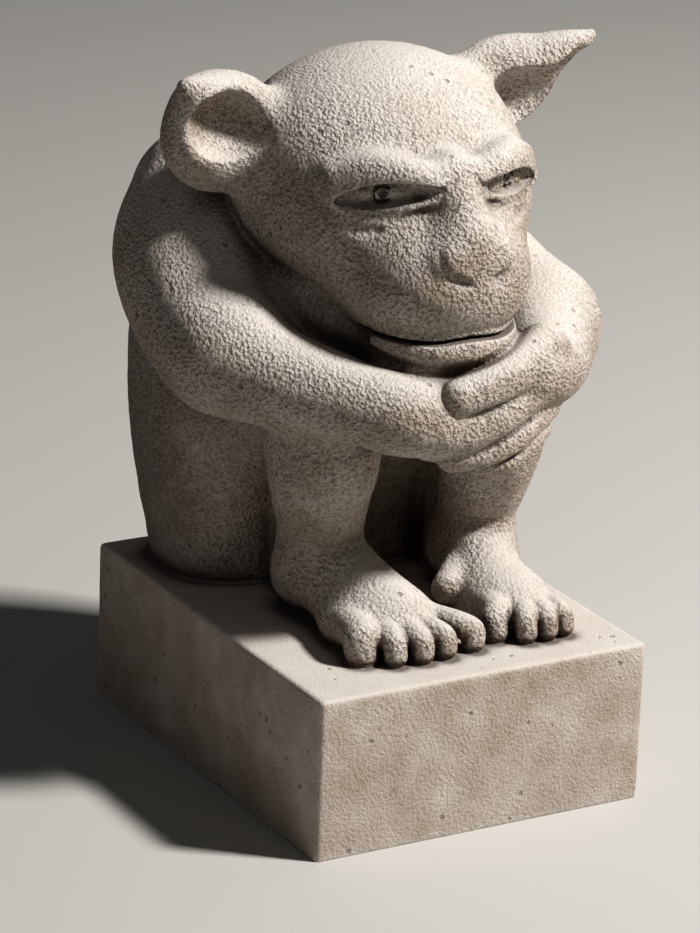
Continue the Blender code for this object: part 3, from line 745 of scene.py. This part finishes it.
class GARGOYLE_OT_statue(bpy.types.Operator):
    """Draw the figure and its plinth as one worn skin of cast stone"""
    bl_idname = "gargoyle.statue"
    bl_label = "Statue"

    def execute(self, context):
        sizes = context.scene.gargoyle_sizes
        unit = sizes.figure_height / FIGURE_UNITS
        cell = sizes.cell / unit
        field = statue_field(sizes)
        floor = -sizes.plinth_height / unit
        values, low = sampled(field, (-GRID_HALF_WIDTH, -GRID_HALF_DEPTH, floor - GRID_UNDER),
                              (GRID_HALF_WIDTH, GRID_HALF_DEPTH, GRID_TOP), cell)
        points, quads = net(settled(values), low, cell)
        points = drawn_in(field, points, cell)
        skin = thinned(filled_mesh("gargoyle_skin", points, quads), sizes.triangles)
        points = np.empty(len(skin.vertices) * 3, np.float32)
        skin.vertices.foreach_get("co", points)
        points = drawn_in(field, points.reshape(-1, 3).astype(float), cell)
        if not len(points):
            raise RuntimeError("the statue's skin came out empty")
        slope = slope_of(field, points, SLOPE_STEP)
        # how deep each point sits in a hollow, for the painted shade, and how far it stands out on a crest,
        # for the painted light
        hollow = sheltered(field, points, slope, HOLLOW_REACHES)
        crest = sheltered(field, points, slope, CREST_REACHES)
        coarse = PLINTH_GRAIN + (1 - PLINTH_GRAIN) * np.clip(points[:, 2] / FOOT_FILLET, 0, 1)
        for name, share in (("hollow", hollow), ("crest", crest), ("coarse", coarse)):
            skin.attributes.new(name, "FLOAT", "POINT").data.foreach_set("value", share.astype(np.float32))
        points = points * unit + (0, 0, sizes.plinth_height)
        skin.vertices.foreach_set("co", points.astype(np.float32).ravel())
        skin.polygons.foreach_set("use_smooth", np.ones(len(skin.polygons), bool))
        skin.materials.append(cast_stone(context.scene.gargoyle_stone))
        skin.update()
        piece = placed("gargoyle_statue_skin", skin)
        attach(piece, "root")
        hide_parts("gargoyle_statue")
        return {"FINISHED"}


class GARGOYLE_OT_stage(bpy.types.Operator):
    """Lay the pale floor, hang the soft lamps and stand the camera where the photograph was taken"""
    bl_idname = "gargoyle.stage"
    bl_label = "Stage"

    def execute(self, context):
        stage = context.scene.gargoyle_stage
        # floor: a square grid that is flat
        row = FLOOR_SQUARES + 1
        side = np.linspace(-0.5, 0.5, row) * stage.floor_size
        x, y = np.meshgrid(side, side, indexing="ij")
        points = np.stack([x, y, np.zeros_like(x)], -1).reshape(-1, 3)
        first = (np.arange(FLOOR_SQUARES)[:, None] * row + np.arange(FLOOR_SQUARES)).ravel()
        floor = placed("floor", filled_mesh("floor", points, first[:, None] + (0, row, row + 1, 1)))
        floor.data.materials.append(matt_paint(stage.floor_colour))
        softbox("key", KEY_TOWARDS, KEY_SIDE, stage.key_power, linear("#FFFDFA"))
        softbox("fill", FILL_TOWARDS, FILL_SIDE, stage.fill_power, linear("#EEF3FF"))
        world = bpy.data.worlds.new("room")
        world.use_nodes = True
        back = world.node_tree.nodes["Background"]
        back.inputs["Color"].default_value = linear("#F6F6F4")
        back.inputs["Strength"].default_value = stage.sky
        context.scene.world = world
        context.scene.view_settings.view_transform = "Standard"
        context.scene.view_settings.look = "Medium High Contrast"
        yaw, pitch, roll = (math.radians(v) for v in (CAMERA_YAW, CAMERA_PITCH, CAMERA_ROLL))
        forward = np.array([math.sin(yaw) * math.cos(pitch), math.cos(yaw) * math.cos(pitch),
                            -math.sin(pitch)])
        data = bpy.data.cameras.new("camera")
        data.sensor_width = SENSOR_WIDTH
        data.lens = SENSOR_WIDTH * FOCAL_PIXELS / PHOTO_LONG_SIDE_PIXELS
        data.clip_end = 60.0
        camera = bpy.data.objects.new("camera", data)
        camera.location = CAMERA_PLACE
        camera.rotation_euler = Matrix(turned_to(forward, roll)).to_euler()
        context.scene.collection.objects.link(camera)
        context.scene.camera = camera
        return {"FINISHED"}


class GARGOYLE_PT_panel(bpy.types.Panel):
    bl_label = "Gargoyle"
    bl_idname = "GARGOYLE_PT_panel"
    bl_space_type = "VIEW_3D"
    bl_region_type = "UI"
    bl_category = "Gargoyle"

    def draw(self, context):
        column = self.layout.column()
        for settings in (context.scene.gargoyle_sizes, context.scene.gargoyle_stone,
                         context.scene.gargoyle_stage):
            for name in settings.__annotations__:
                column.prop(settings, name)
            column.separator()
        column.operator(GARGOYLE_OT_statue.bl_idname)
        column.operator(GARGOYLE_OT_stage.bl_idname)


CLASSES = (StatueSettings, StoneSettings, StageSettings, GARGOYLE_OT_statue, GARGOYLE_OT_stage,
           GARGOYLE_PT_panel)


def register():
    for kind in CLASSES:
        bpy.utils.register_class(kind)
    bpy.types.Scene.gargoyle_sizes = PointerProperty(type=StatueSettings)
    bpy.types.Scene.gargoyle_stone = PointerProperty(type=StoneSettings)
    bpy.types.Scene.gargoyle_stage = PointerProperty(type=StageSettings)


def unregister():
    del bpy.types.Scene.gargoyle_stage
    del bpy.types.Scene.gargoyle_stone
    del bpy.types.Scene.gargoyle_sizes
    for kind in reversed(CLASSES):
        bpy.utils.unregister_class(kind)


def main():
    register()
    bpy.ops.gargoyle.stage()
    bpy.ops.gargoyle.statue()


if __name__ == "__main__":
    main()
